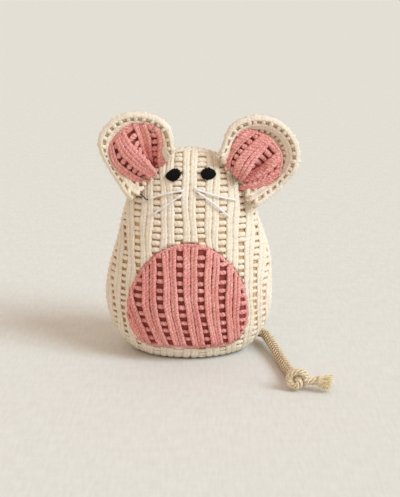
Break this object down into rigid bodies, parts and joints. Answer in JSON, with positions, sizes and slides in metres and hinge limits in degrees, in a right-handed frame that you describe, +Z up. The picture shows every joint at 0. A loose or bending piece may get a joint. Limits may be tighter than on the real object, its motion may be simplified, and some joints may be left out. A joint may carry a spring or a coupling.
{
  "type": "catnip mouse toy",
  "caption": "Upright knitted catnip mouse: stuffed pear-shaped body, dished ears that flex, belly patch, stitched face and a knotted cord tail that swings.",
  "frame": {"origin": "middle of the flat base, on the floor", "axes": "+Z up from the base to the crown, -Y the way the face looks, +X to the viewer's right in front of it"},
  "size_m": [0.0978, 0.0831, 0.1079],
  "materials": {
    "cream_knit": "openwork rib knit, soft matt cotton yarn",
    "pink_knit": "openwork rib knit, soft matt cotton yarn",
    "cotton_lining": "plain woven cotton, matt",
    "fibre_filling": "loose fibre, matt",
    "muslin": "fine plain weave, matt",
    "dried_herb": "crumbled dry leaf, matt",
    "black_thread": "satin stitch, slight sheen",
    "white_thread": "cotton thread, matt",
    "brown_thread": "cotton thread, matt",
    "cotton_cord": "braided cotton cord, matt"
  },
  "bodies": {
    "body": {"body_front_panel": "cream_knit", "body_back_panel": "cream_knit", "base_panel": "cream_knit", "side_seam_thread": "cream_knit", "base_seam_thread": "cream_knit", "belly_patch": "pink_knit", "belly_seam_thread": "pink_knit", "lining_front": "cotton_lining", "lining_back": "cotton_lining", "stuffing_front": "fibre_filling", "stuffing_back": "fibre_filling", "sachet_front": "muslin", "sachet_back": "muslin", "catnip_herb": "dried_herb", "left_eye": "black_thread", "right_eye": "black_thread", "left_upper_whisker": "white_thread", "left_lower_whisker": "white_thread", "right_upper_whisker": "white_thread", "right_lower_whisker": "white_thread", "loose_thread": "brown_thread", "tail_root": "cotton_cord"},
    "left_ear": {"left_ear_back": "cream_knit", "left_ear_lining": "pink_knit", "left_ear_thread": "pink_knit"},
    "right_ear": {"right_ear_back": "cream_knit", "right_ear_lining": "pink_knit", "right_ear_thread": "pink_knit"},
    "tail": {"tail_cord": "cotton_cord", "tail_knot": "cotton_cord", "tail_fray": "cotton_cord"}
  },
  "joints": [
    {"name": "left_ear_flex", "type": "hinge", "parent": "body", "child": "left_ear", "pos_m": [-0.01749, -0.005, 0.0846], "axis": [0.7402, 0, 0.6724], "range_deg": [-40, 12], "stiffness_Nm_per_rad": 0.012},
    {"name": "right_ear_flex", "type": "hinge", "parent": "body", "child": "right_ear", "pos_m": [0.02057, -0.005, 0.0813], "axis": [0.6253, 0, -0.7804], "range_deg": [-40, 12], "stiffness_Nm_per_rad": 0.012},
    {"name": "tail_swing", "type": "hinge", "parent": "body", "child": "tail", "pos_m": [0.03367, 0.00544, 0.0042], "axis": [0, 0, 1], "range_deg": [0, 75]}
  ]
}
